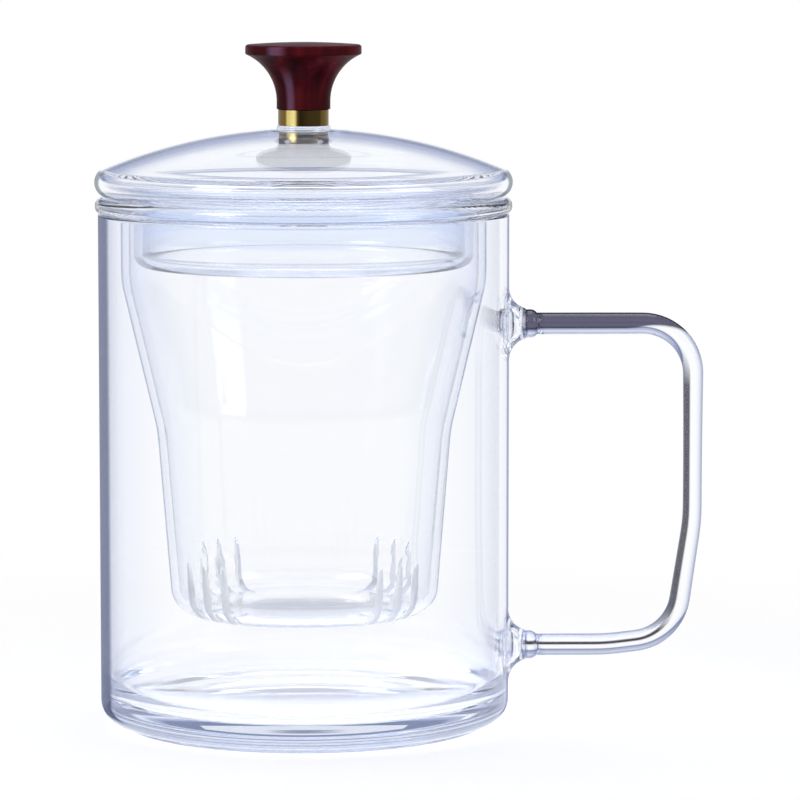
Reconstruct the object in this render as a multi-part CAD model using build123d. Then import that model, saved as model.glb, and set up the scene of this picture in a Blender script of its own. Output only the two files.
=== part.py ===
from build123d import *
import math
import os

# Lidded glass tea mug with a lift-out glass infuser. Millimetres, +Z up.
# The origin is on the mug's axis at table level, and the handle reaches towards +X.
# Every round piece is a half section, drawn as (radius, height), spun about Z.

# Mug
mug_radius = 42.5
mug_height = 106.5
mug_wall = 1.9
mug_floor = 5.6
rim_edge = 0.6
well_rounding = 6.0
heel_rounding = 4.2
foot_inset = 4.6
foot_height = 0.8
foot_width = 4.0
foot_edge = 0.3
punt_depth = 1.3

# Weld bosses, drawn out of the mug's wall to carry the handle
boss_reach = 3.5
boss_tip_radius = 3.1
boss_root_radius = 4.6
boss_flare = 4.6
dimple_mouth_radius = 3.9
dimple_nose_radius = 1.4
dimple_tip_wall = 1.6
dimple_rounding = 1.0
dimple_overcut = 1.0

# Handle, a bent glass rod
handle_drop = 23.2
handle_foot = 15.9
handle_reach = 38.35
handle_lean = 3.7
lower_bar_climb = 1.7
climb_share = 0.45
knee_share = 0.39
knee_rounding = 40.0
elbow_rounding = 10.5
rod_radius = 2.25
grip_radius = 1.95
rod_stations = 8
gather_length = 2.3
gather_radius = 2.9
gather_bulge = 0.35

# Infuser
infuser_gap = 2.8
infuser_wall = 1.6
infuser_stand = 17.6
neck_length = 14.0
shoulder_rounding = 20.0
taper_length = 31.0
taper_run = 7.3
waist_rounding = 30.0
body_draft = 3.1
base_rounding = 5.5
flange_overhang = 0.6
flange_thickness = 3.2
flange_edge = 1.6
flange_under_edge = 1.2
flange_heel = 1.1
mouth_edge = 1.2

# Slits, sawn through the infuser's bottom corner
slit_groups = 4
slits_per_group = 3
slit_pitch = 10.5
slit_turn = 44.0
slit_width = 1.2
slit_point = 0.4
slit_height = 12.3
slit_inset = 7.8
saw_radius = 20.0
saw_bevel = 3.0

# Lid, a blown cap with a cup sealed under it as a plug
lid_overhang = 0.7
lid_wall = 1.8
lid_rise = 14.2
lid_roll = 3.1
plug_gap = 1.0
plug_depth = 14.1
plug_rounding = 3.0
neck_drop = 2.0
neck_rounding = 1.0
crown_radius = 6.0
root_radius = 5.0
root_spread = 3.5
root_depth = 1.6
root_rounding = 2.0

# Knob: glass stub, brass ferrule, turned wood
stub_radius = 3.0
stub_length = 10.6
stub_end_rounding = 1.0
collar_height = 0.7
collar_radius = 5.6
glue_line = 0.35
glue_gap = 0.02
glue_cap = 0.6
ferrule_radius = 5.25
ferrule_height = 3.4
ferrule_edge = 0.2
knob_height = 13.7
knob_neck_radius = 5.55
knob_neck_length = 1.6
knob_rim_radius = 12.0
knob_band = 1.9
knob_crown = 0.5
knob_edge = 0.6

# Levels and radii that follow from the sizes above
mug_inside = mug_radius - mug_wall
boss_levels = {"upper": mug_height - handle_drop, "lower": handle_foot}
boss_tip = mug_radius + boss_reach
rod_start = boss_tip + gather_length
neck_radius = mug_inside - infuser_gap
waist_radius = neck_radius - taper_run
base_radius = waist_radius - body_draft
shoulder_level = mug_height - neck_length
waist_level = shoulder_level - taper_length
base_level = mug_floor + infuser_stand
flange_top = mug_height + flange_thickness
lid_edge = mug_radius + lid_overhang
lid_hub = lid_edge - lid_roll
roll_level = flange_top + lid_roll
apex_level = flange_top + lid_rise
plug_radius = neck_radius - infuser_wall - plug_gap
plug_inside = plug_radius - lid_wall
seam_level = flange_top - neck_drop
bore_radius = stub_radius + glue_line


def section(*lines):
    """Make the half section that the given lines enclose."""
    return make_face([edge for line in lines for edge in line.edges()])


def rounded(face, *corners):
    """Round corners of a half section, each given as (radius, height, rounding)."""
    for radius, height, rounding in corners:
        corner = face.vertices().sort_by_distance((radius, height, 0))[0]
        face = fillet(corner, rounding)
    return face


def turned(face):
    """Spin a half section about the mug's axis."""
    return revolve(Plane.XZ * face, axis=Axis.Z)


def aimed(solid, level):
    """Point a solid that stands on Z along +X, at the given level on the axis."""
    return Pos(0, 0, level) * Rot(0, 90, 0) * solid


def mug_outside():
    """The mug as a solid block of glass: wall, heel, foot ring and punt."""
    foot = mug_radius - foot_inset
    punt = foot - foot_width
    edge = Polyline(
        (0, mug_height), (mug_radius, mug_height), (mug_radius, foot_height),
        (foot, foot_height), (foot, 0), (punt, 0),
    )
    hollow = TangentArc((0, punt_depth), (punt, 0), tangent=(1, 0))
    face = section(edge, hollow, Line((0, punt_depth), (0, mug_height)))
    return turned(rounded(
        face,
        (mug_radius, mug_height, rim_edge),
        (mug_radius, foot_height, heel_rounding),
        (foot, 0, foot_edge),
        (punt, 0, foot_edge),
    ))


def mug_hollow():
    """The space inside the mug, with its mouth flared by the rounded rim."""
    height = mug_height - mug_floor
    face = Pos(mug_inside / 2, mug_floor + height / 2) * Rectangle(mug_inside, height)
    face = rounded(face, (mug_inside, mug_floor, well_rounding))
    lip = Polyline(
        (mug_inside, mug_height - rim_edge), (mug_inside, mug_height),
        (mug_inside + rim_edge, mug_height),
    )
    curl = CenterArc((mug_inside + rim_edge, mug_height - rim_edge), rim_edge, 90, 90)
    return turned(face) + turned(section(lip, curl))


def boss_cone(level):
    """The cone of glass drawn out of the wall at one end of the handle."""
    root = mug_inside
    slope = (boss_root_radius - boss_tip_radius) / boss_reach
    cone = Cone(
        boss_root_radius + slope * (mug_radius - root), boss_tip_radius, boss_tip - root,
        align=(Align.CENTER, Align.CENTER, Align.MIN),
    )
    return aimed(Pos(0, 0, root) * cone, level)


def boss_dimple(level):
    """The hollow behind a boss, left where the wall was drawn out."""
    nose = boss_tip - dimple_tip_wall
    start = mug_inside - dimple_overcut
    slope = (dimple_mouth_radius - dimple_nose_radius) / (nose - mug_inside)
    face = section(Polyline(
        (0, start), (dimple_mouth_radius + slope * (mug_inside - start), start),
        (dimple_nose_radius, nose), (0, nose), close=True,
    ))
    face = rounded(face, (dimple_nose_radius, nose, dimple_rounding))
    return aimed(turned(face), level)


def ring_at(solid, x, level, radius):
    """The closed edge that circles a boss's axis at about this x and radius."""
    def misfit(edge):
        box = edge.bounding_box()
        middle = Vector(x, 0, level) - box.center()
        return middle.length + abs(box.size.Z / 2 - radius)
    return min(solid.edges(), key=misfit)


def mug_body():
    """Straight glass body with two hollow bosses drawn out of its wall."""
    body = mug_outside()
    for level in boss_levels.values():
        body = body + boss_cone(level)
        root = ring_at(body, mug_radius, level, boss_root_radius)
        body = fillet(root, boss_flare)
    body = body - mug_hollow()
    for level in boss_levels.values():
        body = body - boss_dimple(level)
        mouth = ring_at(body, mug_inside, level, dimple_mouth_radius)
        body = fillet(mouth, dimple_rounding)
    return body


def weld_gather(level):
    """The bead of glass that fuses one end of the rod to its boss."""
    bulge = (gather_radius + rod_radius) / 2 + gather_bulge
    face = section(
        Polyline((rod_radius, rod_start), (0, rod_start), (0, boss_tip), (gather_radius, boss_tip)),
        ThreePointArc(
            (gather_radius, boss_tip), (bulge, boss_tip + gather_length / 2), (rod_radius, rod_start)
        ),
    )
    return aimed(turned(face), level)


def handle_line():
    """The rod's centreline, from the lower weld up to the upper one."""
    low, high = boss_levels["lower"], boss_levels["upper"]
    grip = mug_radius + handle_reach
    knee = low + knee_share * (high - low)
    climb = rod_start + climb_share * (grip - rod_start)
    return FilletPolyline(
        (rod_start, 0, low), (climb, 0, low), (grip - handle_lean, 0, low + lower_bar_climb),
        (grip, 0, knee), (grip, 0, high), (rod_start, 0, high),
        radius=[knee_rounding, elbow_rounding, knee_rounding, elbow_rounding],
    )


def mug_handle():
    """Bent rod, full at the welds and drawn thinner along the grip."""
    line = handle_line()
    rings = []
    for station in range(rod_stations + 1):
        share = station / rod_stations
        thinning = (rod_radius - grip_radius) * math.sin(math.pi * share) ** 4
        plane = Plane(origin=line @ share, x_dir=(0, 1, 0), z_dir=line % share)
        rings.append(plane * Circle(rod_radius - thinning))
    return sweep(rings, path=line, multisection=True)


def infuser_side(skin):
    """One side of the infuser's wall, moved in from the outside by skin."""
    top = flange_top if skin else mug_height
    return FilletPolyline(
        (0, base_level + skin), (base_radius - skin, base_level + skin),
        (waist_radius - skin, waist_level), (neck_radius - skin, shoulder_level),
        (neck_radius - skin, top),
        radius=[base_rounding - skin, waist_rounding + skin, shoulder_rounding - skin],
    )


def saw_blade():
    """Bevelled disc that cuts one slit, standing in the radial plane."""
    half, point = slit_width / 2, slit_point / 2
    face = section(Polyline(
        (0, -half), (saw_radius - saw_bevel, -half), (saw_radius, -point),
        (saw_radius, point), (saw_radius - saw_bevel, half), (0, half), close=True,
    ))
    lean = body_draft / (waist_level - base_level)
    outer = Vector(base_radius + lean * slit_height, base_level + slit_height)
    inner = Vector(base_radius - slit_inset, base_level)
    chord = outer - inner
    lift = math.sqrt(saw_radius**2 - (chord.length / 2) ** 2)
    hub = (outer + inner) / 2 + Vector(chord.Y, -chord.X) / chord.length * lift
    return Pos(hub.X, 0, hub.Y) * Rot(90, 0, 0) * turned(face)


def infuser():
    """Glass bowl that hangs in the mug by its beaded flange, with sawn slits."""
    bead = mug_radius + flange_overhang
    inside = neck_radius - infuser_wall
    face = section(
        infuser_side(0),
        Polyline((neck_radius, mug_height), (bead, mug_height), (bead, flange_top), (inside, flange_top)),
        infuser_side(infuser_wall),
        Line((0, base_level), (0, base_level + infuser_wall)),
    )
    bowl = turned(rounded(
        face,
        (neck_radius, mug_height, flange_heel),
        (bead, mug_height, flange_under_edge),
        (bead, flange_top, flange_edge),
        (inside, flange_top, mouth_edge),
    ))
    blade = saw_blade()
    middle = (slits_per_group - 1) / 2
    for group in range(slit_groups):
        for slit in range(slits_per_group):
            turn = slit_turn + group * 360 / slit_groups + (slit - middle) * slit_pitch
            bowl = bowl - Rot(0, 0, turn) * blade
    return bowl


def dome_centre():
    """Height of the centre of the sphere that the lid's crown belongs to."""
    rise = apex_level - roll_level
    radius = (lid_hub**2 + rise**2 - lid_roll**2) / (2 * (rise - lid_roll))
    return apex_level - radius


def crown_level():
    """Height of the flat on top of the dome, where the stub is fused."""
    centre = dome_centre()
    return centre + math.sqrt((apex_level - centre) ** 2 - crown_radius**2)


def lid_dome():
    """Blown cap: a shallow crown, a rolled edge, the shelf that seats on the flange, a neck."""
    centre, crown = dome_centre(), crown_level()
    outer = apex_level - centre
    inner = outer - lid_wall
    meet = math.degrees(math.atan2(roll_level - centre, lid_hub))
    top = math.degrees(math.acos(crown_radius / outer))
    root = root_radius + root_spread
    foot = math.degrees(math.acos(root / inner))
    ceiling = crown - lid_wall - root_depth
    shelf = flange_top + lid_wall
    face = section(
        CenterArc((lid_hub, roll_level), lid_roll, -90, meet + 90),
        CenterArc((0, centre), outer, meet, top - meet),
        Polyline((crown_radius, crown), (0, crown), (0, ceiling), (root_radius, ceiling),
                 (root, centre + math.sqrt(inner**2 - root**2))),
        CenterArc((0, centre), inner, meet, foot - meet),
        CenterArc((lid_hub, roll_level), lid_roll - lid_wall, -90, meet + 90),
        Polyline((lid_hub, shelf), (plug_inside, shelf), (plug_inside, seam_level),
                 (plug_radius, seam_level), (plug_radius, flange_top), (lid_hub, flange_top)),
    )
    return turned(rounded(
        face,
        (root_radius, ceiling, root_rounding),
        (plug_inside, shelf, neck_rounding + lid_wall),
        (plug_radius, flange_top, neck_rounding),
    ))


def lid_plug():
    """Flat-bottomed glass cup, sealed to the cap's neck."""
    bottom = flange_top - plug_depth
    face = section(Polyline(
        (0, bottom), (plug_radius, bottom), (plug_radius, seam_level), (plug_inside, seam_level),
        (plug_inside, bottom + lid_wall), (0, bottom + lid_wall), close=True,
    ))
    return turned(rounded(
        face,
        (plug_radius, bottom, plug_rounding),
        (plug_inside, bottom + lid_wall, plug_rounding - lid_wall),
    ))


def lid_stub():
    """Glass peg fused to the crown, with a collar that the ferrule sits on."""
    crown = crown_level()
    collar, end = crown + collar_height, crown + stub_length
    face = section(Polyline(
        (0, crown), (collar_radius, crown), (collar_radius, collar), (stub_radius, collar),
        (stub_radius, end), (0, end), close=True,
    ))
    return turned(rounded(face, (collar_radius, collar, collar_height / 2),
                          (stub_radius, end, stub_end_rounding)))


def brass_ferrule():
    """Brass ring between the glass collar and the wood."""
    low = crown_level() + collar_height
    high = low + ferrule_height
    face = section(Polyline(
        (bore_radius, low), (ferrule_radius, low), (ferrule_radius, high), (bore_radius, high),
        close=True,
    ))
    face = rounded(face, (ferrule_radius, low, ferrule_edge), (ferrule_radius, high, ferrule_edge))
    return turned(face)


def wooden_knob():
    """Turned knob that flares from a slim neck to a banded, nearly flat top."""
    low = crown_level() + collar_height + ferrule_height
    top = low + knob_height
    band = top - knob_crown
    roof = crown_level() + stub_length + glue_cap
    neck = low + knob_neck_length
    face = section(
        Polyline((knob_neck_radius, neck), (knob_neck_radius, low), (bore_radius, low),
                 (bore_radius, roof), (0, roof), (0, top)),
        TangentArc((0, top), (knob_rim_radius, band), tangent=(1, 0)),
        Line((knob_rim_radius, band), (knob_rim_radius, band - knob_band)),
        TangentArc((knob_neck_radius, neck), (knob_rim_radius, band - knob_band), tangent=(0, 1)),
    )
    return turned(rounded(face, (knob_rim_radius, band, knob_edge),
                          (knob_rim_radius, band - knob_band, knob_edge / 2)))


def knob_adhesive():
    """Set glue that fills the bore around the stub and holds ferrule and wood."""
    low = crown_level() + collar_height + glue_gap
    end = crown_level() + stub_length
    inner, outer = stub_radius + glue_gap, bore_radius - glue_gap
    return turned(section(Polyline(
        (inner, low), (outer, low), (outer, end + glue_cap - glue_gap),
        (0, end + glue_cap - glue_gap), (0, end + glue_gap), (inner, end + glue_gap), close=True,
    )))


pieces = {
    "mug_body": mug_body(),
    "mug_handle": mug_handle(),
    "upper_weld_gather": weld_gather(boss_levels["upper"]),
    "lower_weld_gather": weld_gather(boss_levels["lower"]),
    "infuser": infuser(),
    "lid_dome": lid_dome(),
    "lid_plug": lid_plug(),
    "lid_stub": lid_stub(),
    "brass_ferrule": brass_ferrule(),
    "wooden_knob": wooden_knob(),
    "knob_adhesive": knob_adhesive(),
}

os.makedirs("parts", exist_ok=True)
for name, piece in pieces.items():
    export_step(piece, f"parts/{name}.step")
    print(name, round(piece.volume, 2), piece.is_valid, piece.bounding_box())
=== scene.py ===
import math

import bmesh
import bpy
from mathutils import Matrix, Vector


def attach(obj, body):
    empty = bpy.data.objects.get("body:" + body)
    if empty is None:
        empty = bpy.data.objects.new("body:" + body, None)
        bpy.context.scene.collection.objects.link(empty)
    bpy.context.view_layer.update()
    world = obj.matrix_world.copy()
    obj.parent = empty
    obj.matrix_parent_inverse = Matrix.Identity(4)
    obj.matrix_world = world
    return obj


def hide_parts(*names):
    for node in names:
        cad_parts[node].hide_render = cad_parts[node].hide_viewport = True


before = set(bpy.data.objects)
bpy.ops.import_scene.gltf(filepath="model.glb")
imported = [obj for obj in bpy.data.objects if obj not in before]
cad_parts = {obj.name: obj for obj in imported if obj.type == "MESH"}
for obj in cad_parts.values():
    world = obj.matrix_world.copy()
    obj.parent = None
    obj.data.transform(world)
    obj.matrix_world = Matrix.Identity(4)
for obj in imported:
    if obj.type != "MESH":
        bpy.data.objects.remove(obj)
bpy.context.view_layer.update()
scene = bpy.context.scene

# Sizes are in millimetres, as in the CAD model, and the meshes are made in metres. Seated glass
# faces stay a hairline apart.
MM = 0.001
HAIRLINE = 0.03

mug_radius, mug_inside, mug_height, mug_floor = 42.5, 40.6, 106.5, 5.6
rim_edge, well_rounding, heel_rounding, heel_edge = 0.6, 6.0, 4.2, 0.35
foot_radius, foot_inside, foot_height, foot_edge, punt_depth = 37.9, 33.9, 0.8, 0.3, 1.3

boss_levels = 15.9, 83.3
boss_root_radius, boss_flare, boss_tip_radius, boss_reach, boss_edge = 4.6, 4.6, 3.1, 3.5, 0.15
gather_radius, gather_bulge, gather_length = 2.9, 2.93, 2.3
dimple_mouth_radius, dimple_nose_radius, dimple_depth, dimple_rounding = 3.9, 1.4, 3.8, 1.0

rod_start, grip_level = 48.3, 80.85
handle_lean, lower_bar_climb, climb_share, knee_share = 3.7, 1.7, 0.45, 0.39
knee_rounding, elbow_rounding = 40.0, 10.5
rod_radius, grip_radius, grip_falloff, rod_step = 2.25, 1.95, 4, 2.0
# The weld gather's outline: radius, and share of its length out from the boss.
gather_line = (
    (gather_bulge, 0.25), (gather_bulge, 0.5), (gather_radius * 0.95, 0.75),
    (rod_radius * 1.08, 0.95), (rod_radius, 1.0),
)

flange_top, lid_edge, lid_wall, lid_rise, lid_roll = 109.7, 43.2, 1.8, 14.2, 3.1
plug_radius, plug_depth, plug_rounding, neck_rounding = 35.2, 14.1, 3.0, 1.0
crown_radius, root_radius, root_spread, root_depth, root_rounding = 6.0, 5.0, 3.5, 1.6, 2.0
stub_radius, stub_length, stub_rounding = 3.0, 10.6, 1.0
collar_radius, collar_height, collar_edge, collar_heel = 5.6, 0.7, 0.35, 0.2

# Mesh steps: columns round each glass piece, and how many of them a boss's patch takes each way.
COLUMNS = 208
PATCH = 8
TURN = math.tau / COLUMNS
CELL = mug_radius * TURN

# How round the rings are between a patch's square edge and the circle that its line starts on,
# where those lines start inside the edge, and where the wall starts to turn flat under them.
ROUNDED_SHARES = 0.25, 0.5, 0.75
patch_reach = mug_inside * TURN * PATCH
boss_margin, boss_blend = 0.5, 8.2
dimple_margin, dimple_blend, dimple_tip, dimple_step = 1.0, 6.0, 0.2, 15

# Extra rows of faces: radii on the mug's floor and base, and levels on its wall.
floor_rows, floor_margin, well_rows = (5, 14, 24), 0.8, 4
wall_rows, rim_row = (40, 58), 98
base_rows = 33, 28, 20, 10

# Extra rows on the lid: where the dome starts out from the crown, where the shelf starts in from the
# roll, a radius on the plug's bottom, and the roll's last angle.
crown_margin, shelf_margin, plug_row, roll_end = 1.1, 0.3, 20, -88
dome_step, root_margin = 1.0, 0.5


def arc(centre, radius, first, last, step=6.0):
    """Points on an arc, with its angles in degrees."""
    count = max(2, math.ceil(abs(last - first) / step))
    angles = [math.radians(first + (last - first) * k / count) for k in range(count + 1)]
    return [Vector((centre[0] + radius * math.cos(a), centre[1] + radius * math.sin(a))) for a in angles]


def eased(*corners, step=9.0):
    """Points along a line of (x, y, rounding) corners, with each rounding drawn as an arc."""
    spots = [Vector(c[:2]) for c in corners]
    reach, half = [0.0], [0.0]
    for i in range(1, len(corners) - 1):
        half.append((spots[i - 1] - spots[i]).angle(spots[i + 1] - spots[i]) / 2)
        reach.append(corners[i][2] / math.tan(half[i]))
    reach.append(0.0)
    points = [spots[0]]
    for i in range(1, len(corners) - 1):
        size = corners[i][2]
        if not size:
            points.append(spots[i])
            continue
        back, ahead = (spots[i - 1] - spots[i]).normalized(), (spots[i + 1] - spots[i]).normalized()
        centre = spots[i] + (back + ahead).normalized() * size / math.sin(half[i])
        start, end = spots[i] + back * reach[i] - centre, spots[i] + ahead * reach[i] - centre
        sweep = math.copysign(math.pi - 2 * half[i], start.x * end.y - start.y * end.x)
        count = max(3, math.ceil(math.degrees(abs(sweep)) / step))
        guard = size * abs(sweep) / count
        before = (spots[i] - spots[i - 1]).length - reach[i] - reach[i - 1]
        after = (spots[i + 1] - spots[i]).length - reach[i] - reach[i + 1]
        if before > 3 * guard:
            points.append(centre + start + back * guard)
        points += [centre + Matrix.Rotation(sweep * k / count, 2) @ start for k in range(count + 1)]
        if after > 3 * guard:
            points.append(centre + end + ahead * guard)
    points.append(spots[-1])
    return points


def bridge(mesh, ring, other):
    """Faces between two rings of vertices. Where a ring is a single point, they are triangles."""
    count = len(ring)
    for i in range(count):
        j = (i + 1) % count
        mesh.faces.new(dict.fromkeys((ring[i], ring[j], other[j], other[i])))


def spun(mesh, rows, gaps=()):
    """Spins (radius, height) rows about Z, with air on the left of the line. Gaps are the middle
    rows of patches that are left open round +X."""
    rings = []
    for radius, height in rows:
        if radius < HAIRLINE:
            rings.append([mesh.verts.new((0, 0, height * MM))] * COLUMNS)
            continue
        rings.append([
            mesh.verts.new((radius * math.cos(c * TURN) * MM, radius * math.sin(c * TURN) * MM, height * MM))
            for c in range(COLUMNS)
        ])
    for row in range(len(rings) - 1):
        open_row = any(middle - PATCH <= row < middle + PATCH for middle in gaps)
        upper, lower = rings[row], rings[row + 1]
        for c in range(COLUMNS):
            if open_row and (c < PATCH or c >= COLUMNS - PATCH):
                continue
            n = (c + 1) % COLUMNS
            mesh.faces.new(dict.fromkeys((upper[c], lower[c], lower[n], upper[n])))
    return rings


def patch_steps():
    """The (column, row) steps round a patch, anticlockwise seen from outside, from its +Y side."""
    n = PATCH
    steps = [(n, k) for k in range(n)]
    steps += [(k, n) for k in range(n, -n, -1)]
    steps += [(-n, k) for k in range(n, -n, -1)]
    steps += [(k, -n) for k in range(-n, n)]
    return steps + [(n, k) for k in range(-n, 0)]


def patch_rings(mesh, rings, middle, way, wall, radius, level, line, blend):
    """Rings of vertices from a patch's square edge in to a boss or dimple. line holds (distance
    from its axis, height above the wall), and the wall turns flat between the two blend distances."""
    steps = patch_steps()
    made = [[rings[middle + way * row][column % COLUMNS] for column, row in steps]]
    first = line[0][0]
    rounds = [(first, 0.0, share) for share in ROUNDED_SHARES] + [(*spot, 1.0) for spot in line]
    for distance, height, share in rounds:
        flat = min(1.0, max(0.0, (blend[0] - distance) / (blend[0] - blend[1])))
        flat = flat * flat * (3 - 2 * flat)
        ring = []
        for i, (column, row) in enumerate(steps):
            u, v = column * radius * TURN, row * CELL
            angle = math.atan2(v, u) % math.tau
            angle += (math.tau * i / len(steps) - angle) * share
            reach = math.hypot(u, v) * (1 - share) + distance * share
            u, v = reach * math.cos(angle), reach * math.sin(angle)
            spot = wall(u, v).lerp(Vector((radius, u, level + v)), flat)
            ring.append(mesh.verts.new((spot + Vector((height, 0, 0))) * MM))
        made.append(ring)
    return made


def outer_wall(level):
    """The mug's outer wall, as a function of the way round it and up it from a boss's middle."""
    def at(u, v):
        angle = u / mug_radius
        return Vector((mug_radius * math.cos(angle), mug_radius * math.sin(angle), level + v))
    return at


def well_row(level, v):
    """Radius and height on the inner wall, v above a boss's level along the wall and its well."""
    start = mug_floor + well_rounding
    if level + v >= start:
        return mug_inside, level + v
    angle = (start - level - v) / well_rounding
    return mug_inside - well_rounding * (1 - math.cos(angle)), start - well_rounding * math.sin(angle)


def inner_wall(level):
    """The mug's inner wall, as a function of the way round it and up it from a boss's middle."""
    def at(u, v):
        radius, height = well_row(level, v)
        angle = u / mug_inside
        return Vector((radius * math.cos(angle), radius * math.sin(angle), height))
    return at


def boss_line():
    """A boss and its weld gather, from the wall out to the rod."""
    cone = eased(
        (patch_reach - boss_margin, 0, 0), (boss_root_radius, 0, boss_flare),
        (boss_tip_radius, boss_reach, boss_edge), (gather_radius, boss_reach, 0),
    )
    return cone + [Vector((radius, boss_reach + gather_length * share)) for radius, share in gather_line]


def dimple_line():
    """The hollow behind a boss, from the inner wall to its nose."""
    return eased(
        (patch_reach - dimple_margin, 0, 0), (dimple_blend, 0, 0), (dimple_mouth_radius, 0, dimple_rounding),
        (dimple_nose_radius, dimple_depth, dimple_rounding), (dimple_tip, dimple_depth, 0), step=dimple_step,
    )


def rod_path():
    """The handle rod's centreline and directions, from the lower weld to the upper one."""
    low, high = boss_levels
    knee = low + knee_share * (high - low)
    climb = rod_start + climb_share * (grip_level - rod_start)
    corners = eased(
        (rod_start, low, 0), (climb, low, knee_rounding),
        (grip_level - handle_lean, low + lower_bar_climb, elbow_rounding),
        (grip_level, knee, knee_rounding), (grip_level, high, elbow_rounding), (rod_start, high, 0),
        step=6,
    )
    points = [corners[0]]
    for spot in corners[1:]:
        gap = spot - points[-1]
        count = max(1, round(gap.length / rod_step))
        points += [points[-1] + gap / count * k for k in range(1, count + 1)]
    ways = [Vector((1, 0))]
    for before, here, after in zip(points, points[1:], points[2:]):
        ways.append(((here - before).normalized() + (after - here).normalized()).normalized())
    return points, ways + [Vector((-1, 0))]


def rod_rings(mesh, count):
    """Rings of vertices along the rod between its two ends, thinner along the grip."""
    points, ways = rod_path()
    travelled = [0.0]
    for before, here in zip(points, points[1:]):
        travelled.append(travelled[-1] + (here - before).length)
    rings = []
    for spot, way, run in list(zip(points, ways, travelled))[1:-1]:
        thinned = math.sin(math.pi * run / travelled[-1]) ** grip_falloff
        size = rod_radius - (rod_radius - grip_radius) * thinned
        ring = []
        for i in range(count):
            across, up = size * math.cos(math.tau * i / count), size * math.sin(math.tau * i / count)
            ring.append(mesh.verts.new(Vector((spot.x - way.y * up, across, spot.y + way.x * up)) * MM))
        rings.append(ring)
    return rings


def mug_rows():
    """The mug's half section from the middle of its floor, over the rim, to the middle of its
    base, and the rows at the middle of the inner and outer boss patches."""
    low, high = boss_levels
    span = range(-PATCH, PATCH + 1)
    well_end = low - mug_floor - well_rounding + well_rounding * math.pi / 2
    spread = well_end - PATCH * CELL
    rows = [(r, mug_floor) for r in (0, *floor_rows, mug_inside - well_rounding - floor_margin)]
    rows += [well_row(low, -well_end + spread * k / well_rows) for k in range(well_rows)]
    middles = [len(rows) + PATCH]
    rows += [well_row(low, k * CELL) for k in span]
    rows += [(mug_inside, level) for level in wall_rows]
    middles.append(len(rows) + PATCH)
    rows += [(mug_inside, high + k * CELL) for k in span]
    top = mug_height - HAIRLINE
    rows += eased(
        (mug_inside, rim_row, 0), (mug_inside, top, rim_edge),
        (mug_radius, top, rim_edge), (mug_radius, rim_row, 0),
    )
    middles.append(len(rows) + PATCH)
    rows += [(mug_radius, high - k * CELL) for k in span]
    rows += [(mug_radius, level) for level in reversed(wall_rows)]
    middles.append(len(rows) + PATCH)
    rows += [(mug_radius, low - k * CELL) for k in span]
    bend = (foot_inside**2 + punt_depth**2) / (2 * punt_depth)
    rows += eased(
        (mug_radius, low - PATCH * CELL, 0), (mug_radius, foot_height, heel_rounding),
        (foot_radius, foot_height, heel_edge), (foot_radius, 0, foot_edge), (foot_inside, 0, 0),
    )[1:]
    rows += [(r, punt_depth - bend + math.sqrt(bend**2 - r**2)) for r in (*base_rows, 0)]
    return rows, middles


def mug_glass():
    """Mug body, bosses, weld gathers and handle rod as one fused skin, with no faces inside."""
    mesh = bmesh.new()
    rows, (low_in, high_in, high_out, low_out) = mug_rows()
    rings = spun(mesh, rows, (low_in, high_in, high_out, low_out))
    low, high = boss_levels
    for level, middle in ((low, low_in), (high, high_in)):
        hollow = patch_rings(mesh, rings, middle, 1, inner_wall(level), mug_inside, level,
                             dimple_line(), (dimple_blend, dimple_nose_radius))
        nose = mesh.verts.new((Vector((mug_inside + dimple_depth, 0, level))) * MM)
        hollow.append([nose] * len(hollow[0]))
        for ring, other in zip(hollow, hollow[1:]):
            bridge(mesh, other, ring)
    bosses = []
    for level, middle in ((low, low_out), (high, high_out)):
        bosses.append(patch_rings(mesh, rings, middle, -1, outer_wall(level), mug_radius, level,
                                  boss_line(), (boss_blend, boss_tip_radius)))
    start, end = bosses
    chain = start + rod_rings(mesh, len(start[0]))
    chain += [[ring[-i] for i in range(len(ring))] for ring in reversed(end)]
    for ring, other in zip(chain, chain[1:]):
        bridge(mesh, ring, other)
    return mesh


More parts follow.
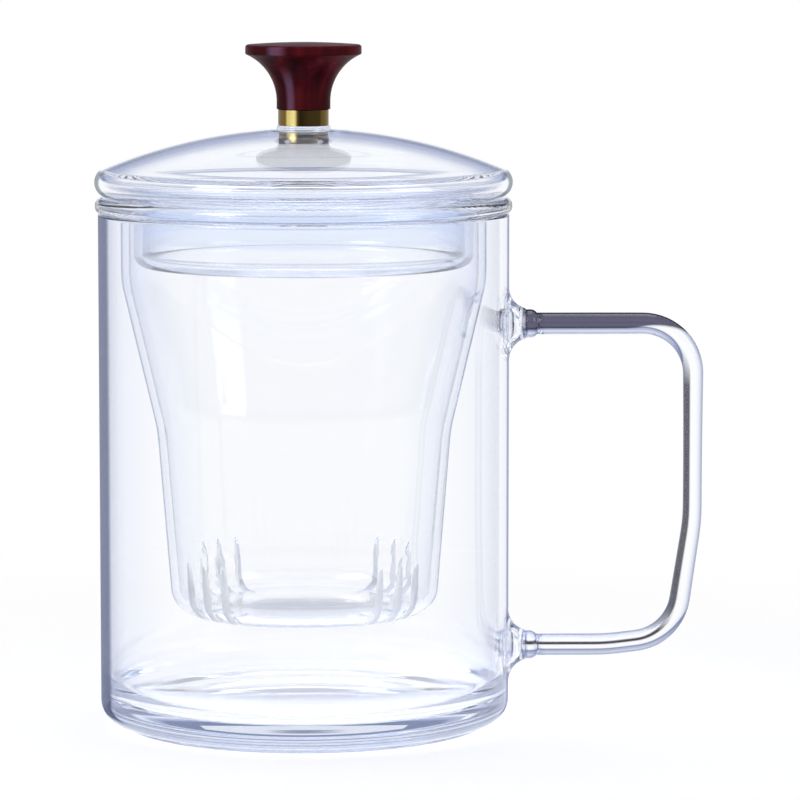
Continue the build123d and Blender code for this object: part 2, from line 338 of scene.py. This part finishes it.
def lid_glass():
    """Dome, plug and stub as one fused skin, and the skin of the sealed air space inside."""
    roll_level, apex, hub = flange_top + lid_roll, flange_top + lid_rise, lid_edge - lid_roll
    rise = apex - roll_level
    outer = (hub**2 + rise**2 - lid_roll**2) / (2 * (rise - lid_roll))
    centre, inner = apex - outer, outer - lid_wall
    crown = centre + math.sqrt(outer**2 - crown_radius**2)
    meet = math.degrees(math.atan2(roll_level - centre, hub))
    seat, shelf, bottom = flange_top + HAIRLINE, flange_top + lid_wall, flange_top - plug_depth
    top = math.degrees(math.acos(crown_margin * crown_radius / outer))
    shelf_start = hub - shelf_margin
    root = root_radius + root_spread
    foot = math.degrees(math.acos(root / inner))
    ceiling = crown - lid_wall - root_depth
    skin = eased(
        (0, crown + stub_length, 0), (stub_radius, crown + stub_length, stub_rounding),
        (stub_radius, crown + collar_height, 0), (collar_radius, crown + collar_height, collar_edge),
        (collar_radius, crown, collar_heel), (crown_radius, crown, 0),
    )
    skin += arc((0, centre), outer, top, meet, dome_step)[:-1]
    skin += arc((hub, roll_level), lid_roll, meet, roll_end)
    skin += eased(
        (shelf_start, seat, 0), (plug_radius, seat, neck_rounding), (plug_radius, bottom, plug_rounding),
        (plug_row, bottom, 0), (0, bottom, 0),
    )
    space = eased(
        (0, bottom + lid_wall, 0), (plug_row, bottom + lid_wall, 0),
        (plug_radius - lid_wall, bottom + lid_wall, plug_rounding - lid_wall),
        (plug_radius - lid_wall, shelf, neck_rounding + lid_wall), (shelf_start, shelf, 0),
    )
    space += arc((hub, roll_level), lid_roll - lid_wall, -90, meet)[:-1]
    space += arc((0, centre), inner, meet, foot - root_margin, dome_step)
    space += eased(
        (root, centre + math.sqrt(inner**2 - root**2), 0),
        (root_radius, ceiling, root_rounding), (0, ceiling, 0),
    )
    mesh = bmesh.new()
    spun(mesh, skin)
    spun(mesh, space)
    return mesh


def piece(name, mesh, body, slot, mat, *nodes):
    """A smooth piece from a bmesh, in place of the CAD nodes it stands for."""
    loose = [v for v in mesh.verts if not v.link_faces]
    bmesh.ops.delete(mesh, geom=loose, context="VERTS")
    data = bpy.data.meshes.new(name)
    mesh.to_mesh(data)
    mesh.free()
    data.shade_smooth()
    data.materials.append(mat)
    made = bpy.data.objects.new(name, data)
    scene.collection.objects.link(made)
    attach(made, body)
    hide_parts(*nodes)
    return made


def node(owner, kind, inputs=None, **settings):
    """A node of a material or world, with its inputs set to values or linked to other sockets."""
    made = owner.node_tree.nodes.new("ShaderNode" + kind)
    for key, value in settings.items():
        setattr(made, key, value)
    for key, value in (inputs or {}).items():
        if isinstance(value, bpy.types.NodeSocket):
            owner.node_tree.links.new(value, made.inputs[key])
        else:
            made.inputs[key].default_value = value
    return made


def sums(owner, operation, first, second=0.0, third=0.0):
    """The output of a Math node."""
    return node(owner, "Math", {0: first, 1: second, 2: third}, operation=operation).outputs[0]


def product(owner, first, *others):
    """The product of several values."""
    for other in others:
        first = sums(owner, "MULTIPLY", first, other)
    return first


def between(owner, value, low, high):
    """0 below low, 1 above high and a smooth step between them."""
    step = node(owner, "MapRange", {"Value": value, "From Min": low, "From Max": high})
    step.interpolation_type = "SMOOTHSTEP"
    return step.outputs[0]


def ramp(owner, value, *stops):
    """A colour ramp over (position, colour) stops."""
    made = node(owner, "ValToRGB", {0: value})
    points = made.color_ramp.elements
    while len(points) < len(stops):
        points.new(1.0)
    for point, (position, colour) in zip(points, stops):
        point.position = position
        point.color = (*colour, 1)
    return made.outputs[0]


def blended(owner, share, first, second):
    """A mix of two colours."""
    mix = node(owner, "Mix", {0: share, 6: first, 7: second}, data_type="RGBA")
    return mix.outputs[2]


def noise(owner, scale, stretch=(1, 1, 1), detail=3.0, rough=0.5):
    """Noise over the object's own coordinates."""
    spot = node(owner, "TexCoord").outputs["Object"]
    spot = node(owner, "Mapping", {"Vector": spot, "Scale": stretch}).outputs[0]
    made = node(owner, "TexNoise", {"Vector": spot, "Scale": scale, "Detail": detail, "Roughness": rough})
    return made.outputs[0]


def material(name, **values):
    """A material and its Principled shader."""
    mat = bpy.data.materials.new(name)
    mat.use_nodes = True
    shader = mat.node_tree.nodes["Principled BSDF"]
    for key, value in values.items():
        shader.inputs[key.replace("_", " ")].default_value = value
    return mat, shader


# Tints of the glass, from clear to the dark that it mirrors, painted on by how edge-on the surface is as a
# stand-in for that reflection, and what it does to light and shadow.
CLEAR = (0.992, 0.995, 1.0)
MIST = (0.86, 0.89, 0.97)
PALE = (0.66, 0.71, 0.88)
SLATE = (0.24, 0.28, 0.42)
NAVY = (0.05, 0.055, 0.11)
COOL = (0.95, 0.965, 1.0)
DEPTH_TINT = (0.60, 0.68, 0.84, 1)
SHADOW_TINT = (0.965, 0.97, 0.985, 1)
GROUND_GLASS = (0.92, 0.94, 0.97, 1)
GLASS_IOR = 1.47
RIPPLE_SCALE, RIPPLE_HEIGHT = 45, 0.001
BAND_SOFTNESS, BAND_SHARE = 0.06, 0.85

# Where the painted tints, reflections and dark outlines of the glass start and end, in millimetres along the
# part's axes.
handle_side = 28, 40
gather_start = 2.0
top_bar_levels, top_bar_bend, bend_narrowing = (60, 70), (66, 84), -1.3
lower_bar_levels = 24, 19
grip_levels, grip_side = (80, 70), (68, 77)
plug_tint_level, plug_tint_fade, plug_corner_levels = 5.4, 0.8, (3.0, 2.4)


def place(owner, axis):
    """A coordinate of the surface in the object's frame, in metres."""
    where = node(owner, "TexCoord").outputs["Object"]
    return node(owner, "SeparateXYZ", {0: where}).outputs[axis]


def along(owner, axis, low, high):
    """A smooth step along an axis of the object, between two places in millimetres."""
    return between(owner, place(owner, axis), low * MM, high * MM)


def across(owner):
    """Distance of the surface from the object's Z axis."""
    x, y = place(owner, "X"), place(owner, "Y")
    return sums(owner, "SQRT", sums(owner, "MULTIPLY_ADD", x, x, sums(owner, "MULTIPLY", y, y)))


def tilt(owner, axis):
    """A component of the surface's normal."""
    normal = node(owner, "NewGeometry").outputs["Normal"]
    return node(owner, "SeparateXYZ", {0: normal}).outputs[axis]


def upright(owner):
    """1 where the surface stands upright and 0 where it lies flat."""
    return between(owner, sums(owner, "ABSOLUTE", tilt(owner, "Z")), 0.75, 0.35)


def outer_skin(owner):
    """1 on the mug's outer wall and 0 on its inner one."""
    outside = between(owner, across(owner), (mug_inside + 0.9) * MM, (mug_inside + 1.5) * MM)
    return product(owner, outside, upright(owner))


def near_handle(owner):
    """1 on the outer wall beside the handle."""
    return product(owner, along(owner, "X", *handle_side), outer_skin(owner))


def off_handle(owner):
    """1 on the outer wall elsewhere."""
    return sums(owner, "SUBTRACT", outer_skin(owner), near_handle(owner))


def on_rod(owner):
    """1 on the weld gathers and the handle rod."""
    return along(owner, "X", mug_radius + gather_start, mug_radius + boss_reach)


def first_skin(owner):
    """1 where light enters the glass and 0 where it leaves."""
    return sums(owner, "SUBTRACT", 1.0, node(owner, "NewGeometry").outputs["Backfacing"])


def painted_rod_top(owner):
    """The upper side of the rod's top bar, painted dark as a reflection of the dark of the room. It narrows
    to the outer edge round the elbow."""
    high = along(owner, "Z", *top_bar_levels)
    bend = along(owner, "X", *top_bar_bend)
    up = sums(owner, "MULTIPLY_ADD", bend, bend_narrowing, tilt(owner, "Z"))
    return product(owner, high, between(owner, up, -0.55, -0.30), on_rod(owner), first_skin(owner))


def painted_rod_line(owner):
    """A narrow painted dark line along the rod's lower bar, a little above its middle, standing in for a
    reflection.
    """
    low = along(owner, "Z", *lower_bar_levels)
    above = between(owner, tilt(owner, "Z"), 0.05, 0.20)
    below = between(owner, tilt(owner, "Z"), 0.50, 0.34)
    return product(owner, low, above, below, on_rod(owner), first_skin(owner))


def painted_grip_reflection(owner):
    """The side of the grip that faces the mug, painted dark as its reflection of the mug."""
    low = along(owner, "Z", *grip_levels)
    grip = along(owner, "X", *grip_side)
    inner = between(owner, tilt(owner, "X"), -0.25, -0.45)
    return product(owner, low, grip, inner, first_skin(owner))


def on_bowl(owner):
    """1 on the upright wall of the infuser below its flange."""
    return product(owner, along(owner, "Z", mug_height, mug_height - 1.0), upright(owner))


def on_bead(owner):
    """1 on the infuser's flange."""
    return product(owner, along(owner, "Z", mug_height - 0.5, mug_height), upright(owner))


def on_roll(owner):
    """1 on the outside of the lid's rolled edge."""
    return between(owner, across(owner), (lid_edge - 1.6) * MM, (lid_edge - 0.8) * MM)


def under_lid(owner):
    """1 on the upright walls of the lid's plug and 0 on its dome."""
    return product(owner, along(owner, "Z", flange_top, flange_top - 2.0), upright(owner))


def plug_top(owner):
    """The upper part of the plug's wall."""
    level = flange_top - plug_depth + plug_tint_level
    return product(owner, along(owner, "Z", level, level + plug_tint_fade), under_lid(owner))


def plug_corner(owner):
    """The rounding between the plug's wall and its flat bottom."""
    low = along(owner, "Z", *(flange_top - plug_depth + level for level in plug_corner_levels))
    return product(owner, low, between(owner, sums(owner, "ABSOLUTE", tilt(owner, "Z")), 0.998, 0.985))


def glass(name, density, ripples, cast, limbs, bands):
    """Clear borosilicate with a faint grey-blue cast in its thickness and slight ripples. limbs are
    (mask, stops) pairs: where the surface is tinted, and its painted colours from face-on to edge-on,
    which stand in for the dark that the glass mirrors. bands are (mask, start, colour): where, how
    near edge-on and in what colour glass shows its outline, a painted dark reflection mixed in."""
    mat, shader = material(name, Roughness=0.0, IOR=GLASS_IOR, Transmission_Weight=1.0)
    links = mat.node_tree.links
    facing = node(mat, "LayerWeight", {"Blend": 0.5}).outputs["Facing"]
    # Painted reflection: inside each mask the tint turns dark towards edge-on.
    tint = (*cast, 1)
    for mask, stops in limbs:
        tint = blended(mat, mask(mat), tint, ramp(mat, facing, *stops))
    links.new(tint, shader.inputs["Base Color"])
    ripple = noise(mat, RIPPLE_SCALE, (1, 1, 0.5), 2.0)
    bump = node(mat, "Bump", {"Strength": ripples, "Distance": RIPPLE_HEIGHT, "Height": ripple})
    links.new(bump.outputs[0], shader.inputs["Normal"])
    absorb = node(mat, "VolumeAbsorption", {"Color": DEPTH_TINT, "Density": density})
    clear = node(mat, "BsdfTransparent", {"Color": SHADOW_TINT})
    shade = node(mat, "LightPath").outputs["Is Shadow Ray"]
    surface = shader.outputs[0]
    # Painted dark outlines: a dark see-through shader mixed in where the glass is near edge-on.
    for mask, start, colour in bands:
        dark = node(mat, "BsdfTransparent", {"Color": (*colour, 1)})
        share = product(mat, between(mat, facing, start, start + BAND_SOFTNESS), mask(mat), BAND_SHARE)
        surface = node(mat, "MixShader", {0: share, 1: surface, 2: dark.outputs[0]}).outputs[0]
    surface = node(mat, "MixShader", {0: shade, 1: surface, 2: clear.outputs[0]})
    out = mat.node_tree.nodes["Material Output"]
    links.new(surface.outputs[0], out.inputs["Surface"])
    links.new(absorb.outputs[0], out.inputs["Volume"])
    return mat


def ground_cuts(mat):
    """Turns the sawn faces of the infuser's slits to pale ground glass."""
    tree = mat.node_tree
    spot = node(mat, "TexCoord").outputs["Object"]
    round_way = node(mat, "VectorMath", {0: spot, 1: (0, 0, 1)}, operation="CROSS_PRODUCT").outputs[0]
    round_way = node(mat, "VectorMath", {0: round_way}, operation="NORMALIZE").outputs[0]
    normal = node(mat, "NewGeometry").outputs["Normal"]
    turned = node(mat, "VectorMath", {0: normal, 1: round_way}, operation="DOT_PRODUCT").outputs["Value"]
    cut = between(mat, sums(mat, "ABSOLUTE", turned), 0.5, 0.8)
    grit = noise(mat, 2500)
    pale = node(mat, "BsdfTranslucent", {"Color": GROUND_GLASS})
    bright = node(mat, "BsdfDiffuse", {"Color": GROUND_GLASS})
    frost = node(mat, "MixShader", {0: 0.5, 1: pale.outputs[0], 2: bright.outputs[0]})
    share = product(mat, cut, sums(mat, "MULTIPLY_ADD", grit, 0.3, 0.45))
    out = tree.nodes["Material Output"]
    clear = out.inputs["Surface"].links[0].from_socket
    mix = node(mat, "MixShader", {0: share, 1: clear, 2: frost.outputs[0]})
    tree.links.new(mix.outputs[0], out.inputs["Surface"])
    return mat


def thirds(owner):
    """0 to 1 round the Z axis, three times over, by the way the surface faces."""
    way = sums(owner, "ARCTAN2", tilt(owner, "X"), product(owner, tilt(owner, "Y"), -1.0))
    return sums(owner, "FRACT", sums(owner, "MULTIPLY_ADD", way, 3 / math.tau, 1.625))


def brass():
    """Polished brass with fine turned lines, and painted reflections: bright in three stripes and dark
    between them.
    """
    mat, shader = material("brass", Metallic=1.0, Roughness=0.25, Anisotropic=0.5)
    gold_and_painted_stripes = ramp(
        mat, thirds(mat), (0.0, (0.12, 0.08, 0.020)), (0.25, (0.20, 0.12, 0.024)), (0.30, (0.95, 0.76, 0.30)),
        (0.45, (0.95, 0.78, 0.29)), (0.51, (0.10, 0.06, 0.014)), (0.56, (0.020, 0.014, 0.005)),
        (0.95, (0.020, 0.013, 0.005)), (1.0, (0.12, 0.08, 0.020)),
    )
    # Painted reflections: darker upright bands from stretched noise.
    bands = noise(mat, 190, (1, 1, 0.02), 1.0)
    shade = between(mat, bands, 0.42, 0.60)
    tone = blended(mat, product(mat, shade, 0.3), gold_and_painted_stripes, (0.10, 0.065, 0.016, 1))
    lines = noise(mat, 60, (1, 1, 60))
    bump = node(mat, "Bump", {"Strength": 0.15, "Distance": 0.0002, "Height": lines})
    mat.node_tree.links.new(tone, shader.inputs["Base Color"])
    mat.node_tree.links.new(bump.outputs[0], shader.inputs["Normal"])
    return mat


def red_wood():
    """Dark red polished hardwood with upright grain, and a faint painted sheen in three places round it."""
    mat, shader = material("red_wood", Coat_Weight=0.04, Coat_Roughness=0.10, Specular_IOR_Level=0.01)
    grain = noise(mat, 260, (1, 1, 0.06), 4.0, 0.6)
    cloud = noise(mat, 60, (1, 1, 0.5), 2.0)
    fine = noise(mat, 1500, (1, 1, 0.04), 2.0)
    tone = ramp(
        mat, grain,
        (0.32, (0.026, 0.003, 0.005)), (0.52, (0.078, 0.005, 0.009)), (0.70, (0.150, 0.012, 0.016)),
    )
    tone = blended(mat, between(mat, cloud, 0.35, 0.70), tone, (0.022, 0.003, 0.005, 1))
    third = thirds(mat)
    # Painted sheen: a lavender highlight in three stripes round the upright faces.
    stripe = product(mat, between(mat, third, 0.28, 0.36), between(mat, third, 0.50, 0.40))
    sheen = product(mat, stripe, upright(mat), 0.55)
    tone = blended(mat, sheen, tone, (0.20, 0.10, 0.18, 1))
    rough = node(mat, "MapRange", {"Value": fine, "To Min": 0.26, "To Max": 0.44}).outputs[0]
    pores = sums(mat, "MULTIPLY_ADD", fine, 0.5, grain)
    bump = node(mat, "Bump", {"Strength": 0.12, "Distance": 0.0003, "Height": pores})
    mat.node_tree.links.new(tone, shader.inputs["Base Color"])
    mat.node_tree.links.new(rough, shader.inputs["Roughness"])
    mat.node_tree.links.new(bump.outputs[0], shader.inputs["Normal"])
    return mat


def adhesive():
    """Set epoxy, slightly cloudy."""
    mat, shader = material("adhesive", Roughness=0.35, Subsurface_Weight=0.3, Subsurface_Scale=0.001)
    cloud = noise(mat, 700)
    tone = ramp(mat, cloud, (0.35, (0.58, 0.50, 0.33)), (0.65, (0.74, 0.68, 0.52)))
    bump = node(mat, "Bump", {"Strength": 0.2, "Distance": 0.0002, "Height": cloud})
    mat.node_tree.links.new(tone, shader.inputs["Base Color"])
    mat.node_tree.links.new(bump.outputs[0], shader.inputs["Normal"])
    return mat


def dress(name, mat):
    """Gives a CAD node a material in place of its own."""
    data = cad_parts[name].data
    data.materials.clear()
    data.materials.append(mat)


mug_mat = glass(
    "mug_glass", 9.0, 0.012, CLEAR,
    # Tints painted by how edge-on the glass is, as its reflection of the dark room, and painted dark
    # reflections on the rod.
    limbs=(
        (upright, ((0.25, CLEAR), (0.60, MIST), (1.0, SLATE))),
        (off_handle, ((0.25, CLEAR), (0.58, MIST), (0.66, PALE), (0.74, SLATE))),
        (near_handle, ((0.30, CLEAR), (0.74, MIST), (0.84, PALE), (1.0, SLATE))),
        (on_rod, ((0.04, CLEAR), (0.25, PALE), (0.50, SLATE), (0.80, NAVY))),
        (painted_rod_top, ((0.0, (0.010, 0.0085, 0.026)), (0.6, (0.002, 0.002, 0.006)))),
        (painted_grip_reflection, ((0.0, (0.014, 0.014, 0.020)), (0.6, (0.010, 0.010, 0.016)))),
        (painted_rod_line, ((0.0, (0.002, 0.002, 0.005)), (0.6, (0.002, 0.002, 0.005)))),
    ),
    # Painted dark outlines where the glass is near edge-on.
    bands=(
        (off_handle, 0.67, (0.40, 0.43, 0.54)),
        (near_handle, 0.83, (0.56, 0.56, 0.71)),
        (painted_rod_top, 0.50, (0.02, 0.02, 0.05)),
    ),
)
# Painted edge tints and dark outlines, standing in for the dark that the glass mirrors, as on the mug.
infuser_mat = ground_cuts(glass(
    "infuser_glass", 9.0, 0.006, CLEAR,
    limbs=((on_bowl, ((0.30, CLEAR), (0.66, MIST), (0.78, PALE), (1.0, SLATE))),),
    bands=((on_bowl, 0.84, (0.64, 0.68, 0.78)), (on_bead, 0.86, (0.57, 0.58, 0.58))),
))
# Painted edge tints and dark outlines on the lid, as on the mug.
lid_mat = glass(
    "lid_glass", 7.0, 0.008, COOL,
    limbs=(
        (under_lid, ((0.30, CLEAR), (0.70, PALE), (0.95, SLATE))),
        (plug_top, ((0.0, (0.84, 0.90, 1.0)), (0.60, (0.78, 0.84, 0.98)), (0.95, SLATE))),
    ),
    bands=((on_roll, 0.77, (0.50, 0.55, 0.58)), (plug_corner, 0.66, (0.66, 0.67, 0.71))),
)
piece("mug_glass", mug_glass(), "mug", "clear_glass", mug_mat,
      "mug_body", "mug_handle", "upper_weld_gather", "lower_weld_gather")
piece("lid_glass", lid_glass(), "lid", "clear_glass", lid_mat, "lid_dome", "lid_plug", "lid_stub")
dress("infuser", infuser_mat)
dress("brass_ferrule", brass())
dress("wooden_knob", red_wood())
dress("knob_adhesive", adhesive())


# Camera: a long lens, a little above the rim, turned so that the handle points slightly away.
turn, pitch, away, lens, sensor = math.radians(-1), math.radians(6.3), 0.95, 205.8, 36
aim_side, aim_level = 19.9, 67.4
back = Vector((math.sin(turn) * math.cos(pitch), -math.cos(turn) * math.cos(pitch), math.sin(pitch)))
aim = Vector((math.cos(turn), math.sin(turn), 0)) * aim_side * MM + Vector((0, 0, aim_level * MM))
camera = bpy.data.objects.new("camera", bpy.data.cameras.new("camera"))
scene.collection.objects.link(camera)
camera.location = aim + back * away
camera.rotation_mode = "QUATERNION"
camera.rotation_quaternion = (-back).to_track_quat("-Z", "Y")
camera.data.lens = lens
camera.data.sensor_width = sensor
camera.data.clip_end = 50
scene.camera = camera


lamp_aim = Vector((0, 0, 0.07))


def lamp(name, spot, size, watts):
    """A soft rectangular lamp aimed at the mug."""
    data = bpy.data.lights.new(name, "AREA")
    data.shape, data.size, data.size_y, data.energy = "RECTANGLE", *size, watts
    item = bpy.data.objects.new(name, data)
    item.location = spot
    item.rotation_mode = "QUATERNION"
    item.rotation_quaternion = (lamp_aim - Vector(spot)).to_track_quat("-Z", "Y")
    scene.collection.objects.link(item)


lamp("key_lamp", (-0.7, -0.5, 0.75), (0.4, 0.6), 5.5)
lamp("fill_lamp", (0.8, -0.4, 0.5), (0.4, 0.6), 2.0)
lamp("top_lamp", (0.0, 0.3, 1.1), (0.8, 0.8), 3.0)


def seen(owner):
    """1 on the rays that show the background: the camera's, and those off metal or through glass."""
    path = node(owner, "LightPath").outputs
    rays = sums(owner, "MAXIMUM", path["Is Camera Ray"], path["Is Glossy Ray"])
    return sums(owner, "MAXIMUM", rays, path["Is Transmission Ray"])


# World: white to the camera. Glass and metal see a white horizon, a grey-blue studio above it
# and a broad white soft box overhead. What it lights is lit by less than what it shows.
PLAIN = (1.0, 1.0, 1.0)
DUSK = (0.50, 0.54, 0.70)
ROOM_LIGHT = 0.42
world = bpy.data.worlds.new("studio")
scene.world = world
world.use_nodes = True
world.node_tree.nodes.clear()
height = node(world, "SeparateXYZ", {0: node(world, "TexCoord").outputs["Generated"]}).outputs["Z"]
studio = ramp(
    world, height, (0.08, PLAIN), (0.14, SLATE), (0.19, SLATE), (0.23, DUSK), (0.31, DUSK), (0.44, PLAIN),
)
camera_ray = node(world, "LightPath").outputs["Is Camera Ray"]
diffuse_ray = node(world, "LightPath").outputs["Is Diffuse Ray"]
plain_ray = sums(world, "MAXIMUM", camera_ray, diffuse_ray)
sky = blended(world, plain_ray, studio, (*PLAIN, 1))
strength = node(world, "MapRange", {"Value": seen(world), "To Min": ROOM_LIGHT, "To Max": 1.0}).outputs[0]
shade = node(world, "Background", {"Color": sky, "Strength": strength})
node(world, "OutputWorld", {"Surface": shade.outputs[0]})


# The floor in metres: half its width, how far it lies under the foot, and where it fades to plain
# white. Its glow is what it shows beside its shadows before it fades.
floor_half, floor_drop = 9.0, 0.0002
fade_start, fade_end, near_glow = 0.07, 0.26, 0.18


def floor():
    """A pale floor that keeps the mug's shadow and turns plain white with distance."""
    mesh = bpy.data.meshes.new("floor")
    corners = [(x * floor_half, y * floor_half, 0) for x, y in ((-1, -1), (1, -1), (1, 1), (-1, 1))]
    mesh.from_pydata(corners, [], [(0, 1, 2, 3)])
    item = bpy.data.objects.new("floor", mesh)
    item.location.z = -floor_drop
    scene.collection.objects.link(item)
    mat, shader = material("floor", Roughness=0.9, Specular_IOR_Level=0.0, Emission_Color=(1, 1, 1, 1))
    far = between(mat, across(mat), fade_start, fade_end)
    grain = noise(mat, 300)
    tone = ramp(mat, grain, (0.0, (0.84, 0.84, 0.85)), (1.0, (0.86, 0.86, 0.865)))
    tone = blended(mat, product(mat, far, seen(mat)), tone, (0, 0, 0, 1))
    lift = product(mat, seen(mat), sums(mat, "MULTIPLY_ADD", far, 1 - near_glow, near_glow))
    mat.node_tree.links.new(tone, shader.inputs["Base Color"])
    mat.node_tree.links.new(lift, shader.inputs["Emission Strength"])
    item.data.materials.append(mat)


floor()

# Light passes many glass skins behind each other, and turns black where its bounces run out.
LIGHT_BOUNCES = 64
scene.view_settings.view_transform = "Standard"
scene.cycles.max_bounces = LIGHT_BOUNCES
scene.cycles.transmission_bounces = LIGHT_BOUNCES
scene.cycles.glossy_bounces = LIGHT_BOUNCES
scene.cycles.transparent_max_bounces = LIGHT_BOUNCES
scene.cycles.use_denoising = True
